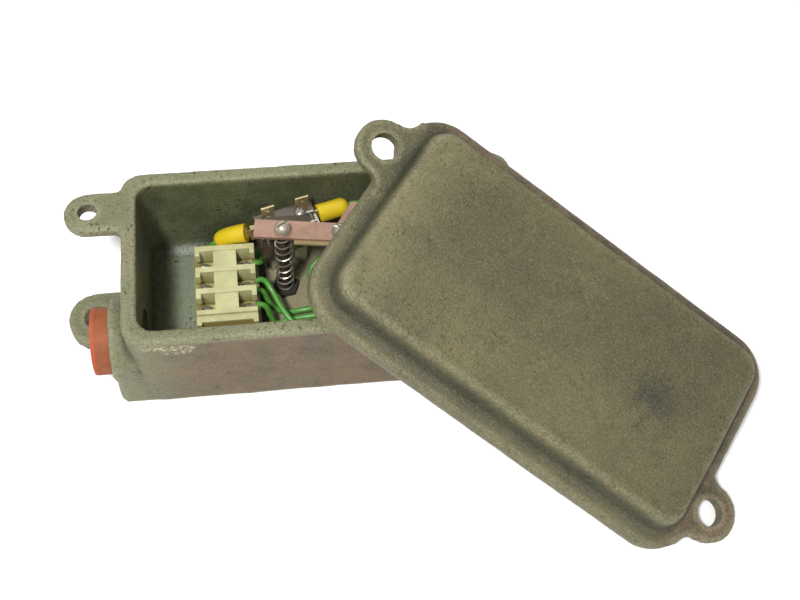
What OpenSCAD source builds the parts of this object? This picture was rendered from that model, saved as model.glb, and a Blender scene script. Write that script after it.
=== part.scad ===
// Vibration limit switch in a cast box, with its lid taken off and leaned on the box.
// Origin: middle of the box's mounting face, at the height of the surface it lies on. +Z up, +X along the box.

/* [Box] */
// Length of the box over its end walls
body_l = 180; // [160:1:220]
// Width of the box over its side walls
body_w = 90; // [84:1:110]
// Height of the box from its mounting face to its rim
body_h = 58; // [56:1:72]
// Thickness of the side walls
wall = 6.6; // [5:0.1:8]
// Thickness of the floor
floor_t = 6; // [5:0.5:8]
// Radius of the box's outer corners
corner_r = 10; // [8:0.5:14]

/* [Lid] */
// How far the lid's lip stands out past the box
lid_lip = 10.5; // [8.5:0.5:14]
// Thickness of the lid's rim plate
lid_t = 4; // [3:0.5:6]
// Height of the lid's raised panel above the underside of its rim plate
dome_h = 16; // [13:0.5:22]
// How far the lid's skirt hangs below its rim plate
skirt_h = 3.5; // [3:0.5:6]
// Thickness of the seal that is glued under the lid
seal_t = 1.5; // [1:0.5:3]

/* [Lugs] */
// Distance of the lid bolts beyond the end walls
bolt_reach = 14.5; // [12:0.5:18]
// Distance of the lid bolts from the long centre line
bolt_y = 25; // [18:0.5:28]
// Diameter of the tapped hole in each box lug
tapped_d = 8.5; // [6.8:0.1:10.2]
// Diameter of the plain bolt hole in each lid lug and each mounting foot
clear_d = 12.5; // [11:0.1:14]
// Outer radius of a lid lug and of a mounting foot
foot_r = 13.5; // [12:0.5:15]
// Distance of the mounting bolts beyond the end walls
foot_reach = 17.5; // [16:0.5:24]
// Thickness of a mounting foot
foot_t = 8; // [6:0.5:8]

/* [Conduit entry] */
// Bore of the conduit entry in the end wall
entry_d = 26.6; // [20:0.1:27]
// How far the entry boss stands out from the end wall
boss_out = 7.5; // [6:0.5:12]
// Diameter of the closing plug's flange
plug_d = 30.4; // [29:0.1:32]
// Thickness of the closing plug's flange
plug_t = 8; // [4:0.1:9]

/* [Terminal block] */
// Distance between two poles of the terminal block
pole_pitch = 11.6; // [11:0.1:12.2]
// Width of the terminal block across the box
block_w = 30; // [28:0.5:30]
// Height of the terminal block's middle ridge
block_h = 25; // [22:0.5:28]

/* [Trip mechanism] */
// Height of the trip bar's underside above the mounting face
bar_z = 55.2; // [54:0.1:60]
// Width of the trip bar
bar_w = 9.5; // [8:0.1:11]
// Thickness of the trip bar
bar_t = 1.6; // [1.2:0.1:2.4]
// Distance from the adjusting screw to the bar's pivot
arm_l = 78; // [74:0.5:80]
// Diameter of the adjusting screw's shank
rod_d = 4.8; // [4:0.1:5.2]
// Outer diameter of the adjusting spring
spring_od = 8.6; // [8:0.1:9.2]
// Wire of the adjusting spring
spring_wire = 0.8; // [0.6:0.1:1.2]
// Diameter of the pivot pin
pivot_d = 4; // [3:0.1:5]

/* [Snap switch] */
// Length of the snap switch's body
sw_l = 28; // [26:0.5:30]
// Height of the snap switch's body
sw_h = 16; // [14:0.5:17]
// Width of a brass spade tab
tab_w = 6.3; // [4.8:0.1:6.5]

/* [Wiring] */
// Outer diameter of the insulated hook-up wire
wire_d = 2.8; // [2:0.1:3]
// Outer diameter of the insulating sleeve on a push-on terminal
sleeve_d = 9.2; // [8:0.1:9.4]

/* [Hidden] */
$fn = 64;

// clearances
fit = 0.05;            // a screw or pin in its hole, on the radius
gap = 0.3;             // between pieces of different moving parts
eps = 0.01;            // overrun of a cut

// box
in_l = body_l - 2 * wall;
in_w = body_w - 2 * wall;
in_r = 6;
lug_t = 5.5;
lug_r = 10.5;
bolt_x = body_l / 2 + bolt_reach;
foot_x = body_l / 2 + foot_reach;

// conduit entry
boss_r = plug_d / 2 + 3.6;
entry_z = foot_t + 4 + plug_d / 2;
entry_y = -(body_w / 2 - boss_r - 2);
boss_x = -body_l / 2 - boss_out;
shank_wall = 2.5;

// terminal block
block_x = -45.8;
block_back = 20.6;
rib_t = 2.8;
front_rib_t = 6.4;
pocket_z = floor_t + 15;
rib_z = floor_t + block_h;
ridge_drop = 0.6;
hook_w = 2.2;
hook_l = 2.6;
hook_h = 5;
ridge_w = 10.6;
poles = 3;
block_toe = 2;
block_len = poles * pole_pitch + front_rib_t + block_toe;
rib_y = [for (i = [0:poles]) block_back - rib_t / 2 - i * pole_pitch];
pole_y = [for (i = [0:poles - 1]) rib_y[i] - pole_pitch / 2];
plate_t = 0.8;
plate_w = 7;
plate_l = block_w - 4;
block_screw_x = block_w / 2 - 5.6;
term_shank_d = 3;
hold_shank_d = 3.4;
hold_head_d = 6.4;
hold_head_h = 3;
hold_y = [block_back - 8, block_back - block_len + 9];

// base plate
plate_x0 = -27.5;
plate_x1 = 76;
plate_y0 = -18;
plate_y1 = 33;
base_t = 1.6;
base_z = floor_t + base_t;
base_screw_at = [[-21, -13], [70, -13], [70, 28], [7, 29]];
base_shank_d = 3.9;

// trip bar, in a frame turned about the adjusting screw
rod_at = [-18.2, 9.4];
bar_turn = -8;
bar_left = -12.8;
wide_x = 24.5;
wide_slope = 5.5;
wide_front = 13;
wide_back = 17;
pin_z = bar_z - 3.2;
knuckle_r = pivot_d / 2 + 2;
knuckle_l = 18;
ear_t = 2;
ear_y = knuckle_l / 2 + gap;
rod_hole_d = rod_d + 1;
head_d = 8;
head_h = 4;
bushing_h = 3;
bushing_af = 11;
pad_t = 1.2;
bar_screw_x = 25.9;
bar_screw_d = 3.6;
nut_h = 3;
mass_h = 14;
mass_x0 = 38;
mass_x1 = 66;
mass_w = 24;
mass_screw_x = [44, 60];
mass_screw_d = 3.6;
trip_deg = 3;
magnet_x = 52;
magnet_gap = 1.9;
core_d = 10;
core_top = bar_z - mass_h - magnet_gap;
coil_d = 24;
flange_t = 1.5;

// adjusting spring
spring_z0 = base_z + bushing_h;
spring_z1 = bar_z - gap;
spring_turns = 10;
spring_steps = 14;
spring_sides = 6;

// snap switch, in a frame turned about the middle of its body
sw_at = [-16.1, 23.5];
sw_turn = 15.3;
sw_front = -7;
sw_back = 6;
sw_top = 44;
post_x = 7.2;
post_y = 1;
post_af = 6;
sw_screw_d = 3;
sw_head_d = 5.6;
sw_head_h = 2;
shield_t = 0.8;
tab_t = 0.8;
tab_h = 6.2;
hinge_x = 11;
hinge_z = sw_top + 2.6;
lever_y = -5;
lever_w = 4.2;
lever_l = 24;
lever_t = 0.6;
lever_rise = asin((bar_z - 0.6 - hinge_z) / lever_l);
lever_pin_d = 1.6;
lever_ear_t = 0.8;
plunger_x = 5;
plunger_d = 3;
plunger_up = (hinge_x - plunger_x) * tan(lever_rise) - lever_t;

// push-on terminals
left_at = [-32, 24.6, 35.2];
left_turn = 172;
left_tilt = 33;
left_l = 13;
right_z = 41;
right_l = 11.8;
sleeve_start = 3.6;
sleeve_nose = 3.4;
left_way = [cos(left_tilt) * cos(left_turn), cos(left_tilt) * sin(left_turn), -sin(left_tilt)];
left_end = left_at + (sleeve_start + left_l + sleeve_nose) * left_way;
right_way = [cos(sw_turn), sin(sw_turn), 0];
right_end = [sw_at[0], sw_at[1], right_z] + (sw_l / 2 + 1.6 + right_l + sleeve_nose) * right_way;

// lid
lid_l = body_l + 2 * lid_lip;
lid_w = body_w + 2 * lid_lip;
lid_r = corner_r + lid_lip;
skirt_t = 4;
dome_out = 1.5;
dome_step = 1.5;
roof_t = 4;
lid_lug_t = 6;

// lean of the lid: its panel rests on the box's front right corner, its right lug on the surface
lean_gap = 0.35;
lean_yaw = -34.6;
lean_roll = 8.5;
lean_pitch = asin((body_h - dome_h + roof_t + 0.25 - 0.93 * bolt_y * sin(lean_roll) - 0.386 * foot_r) / bolt_x);
lid_at = [body_l / 2 + 2.8, -body_w / 2 - 3.7,
          lean_gap + bolt_x * sin(lean_pitch) + bolt_y * cos(lean_pitch) * sin(lean_roll)
          + foot_r * norm([sin(lean_pitch), cos(lean_pitch) * sin(lean_roll)])];
lid_turn = [lean_roll, lean_pitch, lean_yaw];

// wire routes, chosen by hand
common_pts = [left_end, left_end + 3 * left_way, [-52.6, 28.2, 19], [-51, 29.4, 14.6], [-46.5, 29.9, 11.6],
              [-41, 29.8, 10.8], [-35.5, 29.2, 11], [-31.6, 27, 12.4], [-29.5, 23.4, 14.8], [-29.2, 19.6, 18],
              [-29, 16.4, 21.4], [-29.6, 14.2, 23.8], [-31.2, 13.2, 25], [-32.8, 13.1, 25.2]];
contact_pts = [[-32.6, 3, 25], [-29, 3.8, 24.6], [-25.6, 0.4, 22], [-22.8, -5.4, 20], [-20.2, -10.4, 18.6],
               [-17, -15, 17], [-13, -18.6, 14.4], [-7.6, -20.8, 11.6], [0, -21.4, 10], [6.6, -18, 10],
               [9.6, -11, 10], [6, -3.5, 10], [-0.5, 2.5, 10.6], [-5.4, 8, 11.4], [-5.8, 14, 13],
               [-1, 19, 16], [6, 22.6, 19], [13, 26.4, 23], [18.8, 29.6, 28.6], [21.4, 31.6, 34.4],
               [20, 32.8, 39], right_end + 3 * right_way, right_end];
coil_a_pts = [[-32.4, -0.6, 23.2], [-29.6, -1, 22.2], [-27.4, -2.6, 17.5], [-24.4, -5, 12.8],
              [-18, -6.8, 11.4], [-11, -7.6, 13.6], [-4, -6.8, 14], [3, -4.6, 14], [9.6, -3, 13.6],
              [15.5, -1.6, 13.2], [19.6, 0, 13], [21.4, 0.4, 13]];
coil_b_pts = [[-32.4, -9.6, 25], [-29, -10, 24], [-26.6, -12, 18], [-24, -13.4, 13], [-19, -12.4, 13],
              [-13, -11.6, 13.2], [-6, -11.4, 14], [0, -10.4, 14.6], [6, -8.6, 17], [12, -6.4, 19],
              [18, -3.6, 20], [21.6, -1.4, 20]];

// ---------- shared shapes ----------

// rounded rectangle about the origin, as a union that stays exact
module round_rect(l, w, r) {
    square([l - 2 * r, w], center = true);
    square([l, w - 2 * r], center = true);
    for (x = [-1, 1], y = [-1, 1])
        translate([x * (l / 2 - r), y * (w / 2 - r)]) circle(r);
}

module slab(l, w, r, h) {
    linear_extrude(h) round_rect(l, w, r);
}

// a lug that reaches from inside the wall to a round end
module lug(x, y, from_x, r, t) {
    translate([x, y, 0]) cylinder(r = r, h = t);
    translate([min(x, from_x), y - r, 0]) cube([abs(x - from_x), 2 * r, t]);
}

module hex_prism(af, h) {
    cylinder(d = af / cos(30), h = h, $fn = 6);
}

// round-head slotted screw, head up, underside of the head at z = 0
module slotted_screw(d_head, h_head, d_shank, l_shank) {
    slot_w = d_head / 7;
    difference() {
        rotate_extrude() polygon(concat([[0, 0], [d_head / 2, 0]],
            [for (a = [10:10:80]) [d_head / 2 * cos(a), h_head * sin(a)]], [[0, h_head]]));
        translate([-d_head / 2 - eps, -slot_w / 2, h_head * 0.55]) cube([d_head + 2 * eps, slot_w, h_head]);
    }
    translate([0, 0, -l_shank]) cylinder(d = d_shank, h = l_shank + eps);
}

module in_bar_frame() {
    translate([rod_at[0], rod_at[1], 0]) rotate([0, 0, bar_turn]) children();
}

module in_switch_frame() {
    translate([sw_at[0], sw_at[1], 0]) rotate([0, 0, sw_turn]) children();
}

module in_lid_frame() {
    translate(lid_at) rotate(lid_turn) children();
}

// ---------- swept tubes ----------

function unit(v) = v / norm(v);
function way(pts, i) = pts[max(0, min(len(pts) - 1, i))];
function heading(pts, i) = unit(way(pts, i + 1) - way(pts, i - 1));
// side vector that is carried along the route, so that the tube doesn't twist
function carry(pts, i) = i == 0
    ? let (h = heading(pts, 0), a = abs(h[2]) < 0.9 ? [0, 0, 1] : [1, 0, 0]) unit(cross(h, a))
    : let (h = heading(pts, i), s = carry(pts, i - 1)) unit(s - h * (h * s));

module tube(pts, d, sides) {
    n = len(pts);
    sides_v = [for (i = [0:n - 1]) carry(pts, i)];
    points = [for (i = [0:n - 1], k = [0:sides - 1])
        let (h = heading(pts, i), s = sides_v[i], u = cross(h, s), a = 360 * k / sides)
        pts[i] + (cos(a) * s + sin(a) * u) * d / 2];
    faces = concat([[for (k = [0:sides - 1]) k]],
        [for (i = [0:n - 2], k = [0:sides - 1])
            let (a = i * sides + k, b = i * sides + (k + 1) % sides) [a, a + sides, b + sides, b]],
        [[for (k = [sides - 1:-1:0]) (n - 1) * sides + k]]);
    polyhedron(points, faces);
}

module wire(pts) {
    color("seagreen") tube(pts, wire_d, 8);
}

// ---------- box ----------

module box_body() {
    color([0.52, 0.52, 0.45]) difference() {
        union() {
            slab(body_l, body_w, corner_r, body_h);
            for (s = [-1, 1]) {
                translate([0, 0, body_h - lug_t]) lug(s * bolt_x, -s * bolt_y, s * in_l / 2, lug_r, lug_t);
                lug(s * foot_x, 0, s * in_l / 2, foot_r, foot_t);
            }
            translate([boss_x, entry_y, entry_z]) rotate([0, 90, 0])
                cylinder(r = boss_r, h = boss_out + wall);
            translate([boss_x, entry_y - boss_r + 0.6, 0])
                cube([boss_out + wall, 2 * boss_r - 1.2, entry_z]);
        }
        translate([0, 0, floor_t]) slab(in_l, in_w, in_r, body_h);
        translate([boss_x - eps, entry_y, entry_z]) rotate([0, 90, 0])
            cylinder(d = entry_d, h = boss_out + wall + 2 * eps);
        for (s = [-1, 1]) {
            translate([s * bolt_x, -s * bolt_y, body_h - lug_t - eps]) cylinder(d = tapped_d, h = lug_t + 2 * eps);
            translate([s * foot_x, 0, -eps]) cylinder(d = clear_d, h = foot_t + 2 * eps);
        }
        for (p = base_screw_at)
            translate([p[0], p[1], floor_t - 4.5]) cylinder(d = base_shank_d + 2 * fit, h = 5);
        for (y = hold_y) translate([block_x, y, -eps]) {
            cylinder(d = hold_shank_d + 2 * fit, h = floor_t + 2 * eps);
            cylinder(d = hold_head_d + 2 * fit, h = hold_head_h + fit);
        }
    }
}

module conduit_plug() {
    color("orangered") translate([boss_x, entry_y, entry_z]) rotate([0, 90, 0]) difference() {
        union() {
            translate([0, 0, -plug_t - fit]) cylinder(d = plug_d, h = plug_t);
            translate([0, 0, -fit - eps]) cylinder(d = entry_d - 2 * fit, h = boss_out + wall - 2);
        }
        cylinder(d = entry_d - 2 * shank_wall, h = boss_out + wall);
    }
}

// ---------- terminal block ----------

module terminal_block() {
    color("khaki") difference() {
        translate([block_x, 0, 0]) union() {
            translate([-block_w / 2, block_back - block_len, floor_t]) cube([block_w, block_len, pocket_z - floor_t]);
            translate([-ridge_w / 2, block_back - block_len + block_toe, floor_t])
                cube([ridge_w, block_len - block_toe, block_h - ridge_drop]);
            for (i = [0:poles]) {
                t = i == poles ? front_rib_t : rib_t;
                translate([-block_w / 2 + 1.2, rib_y[i] + rib_t / 2 - t, pocket_z - eps])
                    cube([block_w - 2.4, t, rib_z - pocket_z]);
                for (s = [-1, 1])
                    translate([s * (block_w / 2 - 1.2 - hook_w / 2) - hook_w / 2,
                               rib_y[i] + rib_t / 2 - t - hook_l * (i == poles ? 0.6 : 1), rib_z - hook_h])
                        cube([hook_w, hook_l, hook_h]);
            }
        }
        translate([block_x - block_w / 2, rib_y[poles] + rib_t / 2 - front_rib_t / 2 - 0.9, rib_z - 1.6])
            cube([block_w, 1.8, 2]);
        for (y = pole_y) translate([block_x, y, 0]) {
            translate([-plate_l / 2 - fit, -plate_w / 2 - fit, pocket_z - eps])
                cube([plate_l + 2 * fit, plate_w + 2 * fit, plate_t + 2 * fit]);
            for (s = [-1, 1]) translate([s * block_screw_x, 0, pocket_z - 7])
                cylinder(d = term_shank_d + 2 * fit, h = 8);
        }
        for (y = hold_y) translate([block_x, y, floor_t - eps])
            cylinder(d = hold_shank_d + 2 * fit, h = 9.4);
    }
}

module terminal_plates() {
    color("gold") for (y = pole_y) translate([block_x, y, pocket_z]) difference() {
        translate([-plate_l / 2, -plate_w / 2, 0]) cube([plate_l, plate_w, plate_t]);
        for (s = [-1, 1]) translate([s * block_screw_x, 0, -eps])
            cylinder(d = term_shank_d + 2 * fit, h = plate_t + 2 * eps);
    }
}

module terminal_screws() {
    color("silver") for (y = pole_y, s = [-1, 1])
        translate([block_x + s * block_screw_x, y, pocket_z + plate_t])
            rotate([0, 0, 35 * s + y]) slotted_screw(6, 2.2, term_shank_d, 6);
}

module block_screws() {
    color("silver") for (y = hold_y) translate([block_x, y, hold_head_h]) rotate([180, 0, 0])
        union() {
            cylinder(d = hold_head_d, h = hold_head_h - 0.5);
            translate([0, 0, -11]) cylinder(d = hold_shank_d, h = 11 + eps);
        }
}

// ---------- mechanism on its base plate ----------

module base_plate() {
    color("darkgray") difference() {
        translate([(plate_x0 + plate_x1) / 2, (plate_y0 + plate_y1) / 2, floor_t])
            slab(plate_x1 - plate_x0, plate_y1 - plate_y0, 3, base_t);
        for (p = base_screw_at) translate([p[0], p[1], floor_t - eps])
            cylinder(d = base_shank_d + 2 * fit, h = base_t + 2 * eps);
    }
}

module base_screws() {
    color("silver") for (p = base_screw_at) translate([p[0], p[1], base_z])
        rotate([0, 0, p[0]]) slotted_screw(7, 2.6, base_shank_d, base_t + 3.6);
}

module pivot_bracket() {
    color("darkgray") in_bar_frame() difference() {
        union() {
            translate([arm_l - 10, -ear_y - ear_t - 3, base_z]) cube([18, 2 * (ear_y + ear_t + 3), 2]);
            for (s = [-1, 1]) translate([arm_l - 5, s > 0 ? ear_y : -ear_y - ear_t, base_z]) union() {
                cube([10, ear_t, pin_z - base_z]);
                translate([5, 0, pin_z - base_z]) rotate([-90, 0, 0]) cylinder(r = 5, h = ear_t);
            }
        }
        translate([arm_l, -20, pin_z]) rotate([-90, 0, 0]) cylinder(d = pivot_d + 2 * fit, h = 40);
    }
}

module pivot_pin() {
    color("silver") in_bar_frame() translate([arm_l, -ear_y - ear_t - 1, pin_z])
        rotate([-90, 0, 0]) cylinder(d = pivot_d, h = 2 * (ear_y + ear_t + 1));
}

module magnet_core() {
    color("dimgray") in_bar_frame() translate([magnet_x, 0, base_z])
        cylinder(d = core_d, h = core_top - base_z);
}

module coil_bobbin() {
    top = core_top - 2;
    color("black") in_bar_frame() translate([magnet_x, 0, 0]) difference() {
        union() {
            translate([0, 0, base_z]) cylinder(d = coil_d + 2, h = flange_t);
            translate([0, 0, top - flange_t]) cylinder(d = coil_d + 2, h = flange_t);
            translate([0, 0, base_z]) cylinder(d = core_d + 3, h = top - base_z);
        }
        translate([0, 0, base_z - eps]) cylinder(d = core_d + 2 * fit, h = top);
    }
}

module reset_coil() {
    low = base_z + flange_t;
    high = core_top - 2 - flange_t;
    color("peru") in_bar_frame() translate([magnet_x, 0, low]) difference() {
        cylinder(d = coil_d, h = high - low);
        translate([0, 0, -eps]) cylinder(d = core_d + 3 + 2 * fit, h = high - low + 2 * eps);
    }
}

module screw_bushing() {
    color([0.2, 0.17, 0.2]) translate([rod_at[0], rod_at[1], base_z]) difference() {
        rotate([0, 0, 12]) hex_prism(bushing_af, bushing_h);
        translate([0, 0, -eps]) cylinder(d = rod_d + 2 * fit, h = bushing_h + 2 * eps);
    }
}

module adjusting_screw() {
    top = bar_z + bar_t + gap;
    color("silver") translate([rod_at[0], rod_at[1], top]) rotate([0, 0, 28])
        slotted_screw(head_d, head_h, rod_d, top - base_z - gap);
}

module adjusting_spring() {
    n = spring_turns * spring_steps;
    r = (spring_od - spring_wire) / 2;
    low = spring_z0 + spring_wire / 2;
    high = spring_z1 - spring_wire / 2;
    // the first and the last turn lie flat, as on a spring with closed ends
    lift = [for (i = [0:n]) let (t = i / spring_steps)
        max(0, min(1, (t - 0.8) / (spring_turns - 1.6)))];
    color("gray") translate([rod_at[0], rod_at[1], 0])
        tube([for (i = [0:n]) let (a = 360 * i / spring_steps)
            [r * cos(a), r * sin(a), low + spring_wire * 1.05 * min(i / spring_steps, 0.8)
             + (high - low - 1.7 * spring_wire) * lift[i]
             + spring_wire * 1.05 * max(0, i / spring_steps - spring_turns + 0.8)]], spring_wire, spring_sides);
}

module trip_bar() {
    color([0.78, 0.6, 0.55]) in_bar_frame() difference() {
        union() {
            translate([bar_left, -bar_w / 2, bar_z]) cube([wide_x - bar_left + 1, bar_w, bar_t]);
            translate([0, 0, bar_z]) linear_extrude(bar_t) polygon([[wide_x, -bar_w / 2],
                [wide_x + wide_slope, -wide_front], [mass_x1 + 2, -wide_front], [mass_x1 + 2, wide_back],
                [wide_x + wide_slope, wide_back], [wide_x, bar_w / 2]]);
            translate([mass_x1, -knuckle_l / 2, bar_z]) cube([arm_l - mass_x1 + 2, knuckle_l, bar_t]);
            translate([arm_l, -knuckle_l / 2, pin_z]) rotate([-90, 0, 0]) cylinder(r = knuckle_r, h = knuckle_l);
        }
        translate([0, 0, bar_z - eps]) cylinder(d = rod_hole_d, h = bar_t + 2 * eps);
        translate([arm_l, -knuckle_l, pin_z]) rotate([-90, 0, 0])
            cylinder(d = pivot_d + 2 * fit, h = 2 * knuckle_l);
        translate([bar_screw_x, 0, bar_z - eps]) cylinder(d = bar_screw_d + 2 * fit, h = bar_t + 2 * eps);
        for (x = mass_screw_x) translate([x, 0, bar_z - eps])
            cylinder(d = mass_screw_d + 2 * fit, h = bar_t + 2 * eps);
    }
}

module insulator_pad() {
    color("cornsilk") in_bar_frame() difference() {
        translate([5.4, -bar_w / 2 - 1.6, bar_z - pad_t]) cube([25, bar_w - 1, pad_t]);
        translate([bar_screw_x, 0, bar_z - pad_t - eps]) cylinder(d = bar_screw_d + 2 * fit, h = pad_t + 2 * eps);
    }
}

module bar_screw() {
    color("silver") in_bar_frame() translate([bar_screw_x, 0, bar_z + bar_t]) rotate([0, 0, -20])
        slotted_screw(head_d, head_h, bar_screw_d, bar_t + pad_t + nut_h + 1);
}

module bar_nut() {
    color("silver") in_bar_frame() translate([bar_screw_x, 0, bar_z - pad_t - nut_h]) difference() {
        hex_prism(7, nut_h);
        translate([0, 0, -eps]) cylinder(d = bar_screw_d + 2 * fit, h = nut_h + 2 * eps);
    }
}

module seismic_mass() {
    color("dimgray") in_bar_frame() difference() {
        translate([mass_x0, -mass_w / 2, bar_z - mass_h]) cube([mass_x1 - mass_x0, mass_w, mass_h]);
        for (x = mass_screw_x) translate([x, 0, bar_z - 8]) cylinder(d = mass_screw_d + 2 * fit, h = 9);
    }
}

module mass_screws() {
    color("silver") in_bar_frame() for (x = mass_screw_x) translate([x, 0, bar_z + bar_t])
        slotted_screw(7, 2.6, mass_screw_d, bar_t + 7);
}

// ---------- snap switch ----------

module switch_standoffs() {
    color("silver") in_switch_frame() for (s = [-1, 1]) translate([s * post_x, post_y, base_z]) difference() {
        hex_prism(post_af, sw_top - sw_h - base_z);
        translate([0, 0, sw_top - sw_h - base_z - 6]) cylinder(d = sw_screw_d + 2 * fit, h = 7);
    }
}

module switch_body() {
    color([0.35, 0.33, 0.28]) in_switch_frame() difference() {
        translate([-sw_l / 2, sw_front, sw_top - sw_h]) cube([sw_l, sw_back - sw_front, sw_h]);
        for (s = [-1, 1]) translate([s * post_x, post_y, sw_top - sw_h - eps])
            cylinder(d = sw_screw_d + 2 * fit, h = sw_h + 2 * eps);
        translate([plunger_x, lever_y, sw_top - 7]) cylinder(d = plunger_d + 2 * fit, h = 8);
    }
}

// clear cap over the back half of the switch's top
module switch_shield() {
    y0 = lever_y + lever_w / 2 + 1.4;
    color([0.7, 0.72, 0.68]) in_switch_frame() difference() {
        translate([-sw_l / 2, y0, sw_top]) cube([sw_l, sw_back - y0, shield_t]);
        for (s = [-1, 1]) translate([s * post_x, post_y, sw_top - eps])
            cylinder(d = sw_screw_d + 2 * fit, h = shield_t + 2 * eps);
        for (x = [-sw_l / 2 + 7, sw_l / 2 - 4.4]) translate([x - tab_w / 2 - fit, sw_back - 1.2 - fit, sw_top - eps])
            cube([tab_w + 2 * fit, tab_t + 2 * fit, shield_t + 2 * eps]);
    }
}

module upright_tab() {
    difference() {
        translate([-tab_w / 2, 0, 0]) cube([tab_w, tab_t, tab_h]);
        translate([0, -eps, tab_h - 2.4]) rotate([-90, 0, 0]) cylinder(d = 1.6, h = tab_t + 2 * eps);
    }
}

module switch_tabs() {
    color("goldenrod") union() {
        in_switch_frame() {
            for (x = [-sw_l / 2 + 7, sw_l / 2 - 4.4]) translate([x, sw_back - 1.2, sw_top]) upright_tab();
            translate([sw_l / 2, -tab_t / 2, right_z - tab_w / 2]) cube([7, tab_t, tab_w]);
        }
        in_switch_frame() translate([-sw_l / 2 - 2.4, sw_back - 3, left_at[2] - 4]) cube([2.4, 2.6, 8]);
        translate(left_at) rotate([0, left_tilt, left_turn])
            translate([1, -tab_t / 2, -tab_w / 2]) cube([sleeve_start + 3.8, tab_t, tab_w]);
    }
}

module switch_screws() {
    color("silver") in_switch_frame() for (s = [-1, 1])
        translate([s * post_x, post_y, sw_top + shield_t])
            rotate([0, 0, 40 * s]) slotted_screw(sw_head_d, sw_head_h, sw_screw_d, sw_h + shield_t + 5);
}

module lever_bracket() {
    outer = lever_w / 2 + gap + lever_ear_t;
    color("silver") in_switch_frame() difference() {
        union() {
            translate([hinge_x - 3, lever_y - outer, sw_top]) cube([6, 2 * outer, lever_ear_t]);
            for (s = [-1, 1]) translate([hinge_x - 1.6, s > 0 ? lever_y + outer - lever_ear_t : lever_y - outer, sw_top])
                cube([3.2, lever_ear_t, hinge_z - sw_top + 1.6]);
        }
        translate([hinge_x, lever_y - 5, hinge_z]) rotate([-90, 0, 0]) cylinder(d = lever_pin_d + 2 * fit, h = 10);
    }
}

module lever_pin() {
    half = lever_w / 2 + gap + lever_ear_t + 0.4;
    color("silver") in_switch_frame() translate([hinge_x, lever_y - half, hinge_z])
        rotate([-90, 0, 0]) cylinder(d = lever_pin_d, h = 2 * half);
}

module switch_lever() {
    color("lightgray") in_switch_frame() translate([hinge_x, lever_y, hinge_z]) rotate([0, lever_rise, 0])
        difference() {
            union() {
                rotate([-90, 0, 0]) translate([0, 0, -lever_w / 2]) cylinder(d = lever_pin_d + 1, h = lever_w);
                translate([-lever_l, -lever_w / 2, -lever_t / 2]) cube([lever_l, lever_w, lever_t]);
            }
            rotate([-90, 0, 0]) translate([0, 0, -lever_w]) cylinder(d = lever_pin_d + 2 * fit, h = 2 * lever_w);
        }
}

module switch_plunger() {
    top = hinge_z + plunger_up - gap;
    color("firebrick") in_switch_frame() translate([plunger_x, lever_y, sw_top - 4])
        cylinder(d = plunger_d, h = top - sw_top + 4);
}

// ---------- push-on terminals and wires ----------

// insulating sleeve of a push-on terminal, its mouth at the origin and its nose towards +Z
module sleeve(l) {
    difference() {
        union() {
            cylinder(d = sleeve_d, h = l);
            translate([0, 0, l]) sphere(d = sleeve_d);
        }
        translate([-sleeve_d, -sleeve_d, l + sleeve_nose]) cube([2 * sleeve_d, 2 * sleeve_d, sleeve_d]);
        translate([-sleeve_d, -sleeve_d, -sleeve_d]) cube([2 * sleeve_d, 2 * sleeve_d, sleeve_d]);
        translate([-tab_w / 2 - fit, -tab_t / 2 - fit, -0.1]) cube([tab_w + 2 * fit, tab_t + 2 * fit, 5.6]);
    }
}

module sleeve_left() {
    color("gold") translate(left_at) rotate([0, left_tilt, left_turn])
        translate([sleeve_start, 0, 0]) rotate([0, 90, 0]) sleeve(left_l);
}

module sleeve_right() {
    color("gold") in_switch_frame() translate([sw_l / 2 + 1.6, 0, right_z]) rotate([0, 90, 0]) sleeve(right_l);
}

module wire_common() {
    wire(common_pts);
}

module wire_contact() {
    wire(contact_pts);
}

module wire_coil_a() {
    wire(coil_a_pts);
}

module wire_coil_b() {
    wire(coil_b_pts);
}

// ---------- lid ----------

module cover() {
    dome_l = body_l + 2 * dome_out;
    dome_w = body_w + 2 * dome_out;
    dome_r = corner_r + dome_step;
    color([0.55, 0.54, 0.46]) in_lid_frame() difference() {
        union() {
            translate([0, 0, -skirt_h]) slab(lid_l, lid_w, lid_r, skirt_h + lid_t);
            slab(dome_l, dome_w, dome_r, dome_h - dome_step);
            slab(dome_l - 2 * dome_step, dome_w - 2 * dome_step, dome_r - dome_step, dome_h);
            for (s = [-1, 1]) lug(s * bolt_x, -s * bolt_y, s * (lid_l / 2 - 6), foot_r, lid_lug_t);
        }
        translate([0, 0, -skirt_h - eps])
            slab(lid_l - 2 * skirt_t, lid_w - 2 * skirt_t, lid_r - skirt_t, skirt_h + eps);
        translate([0, 0, -eps]) slab(in_l, in_w, in_r, dome_h - roof_t + eps);
        for (s = [-1, 1]) {
            translate([s * bolt_x, -s * bolt_y, -eps]) cylinder(d = clear_d, h = lid_lug_t + 2 * eps);
            translate([s * lid_l / 2 - 8, -s * bolt_y - lug_r - 1, -skirt_h - 1])
                cube([16, 2 * lug_r + 2, skirt_h + 1]);
        }
    }
}

module cover_gasket() {
    color("black") in_lid_frame() translate([0, 0, -seal_t]) difference() {
        slab(body_l, body_w, corner_r, seal_t);
        translate([0, 0, -eps]) slab(in_l, in_w, in_r, seal_t + 2 * eps);
    }
}

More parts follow.
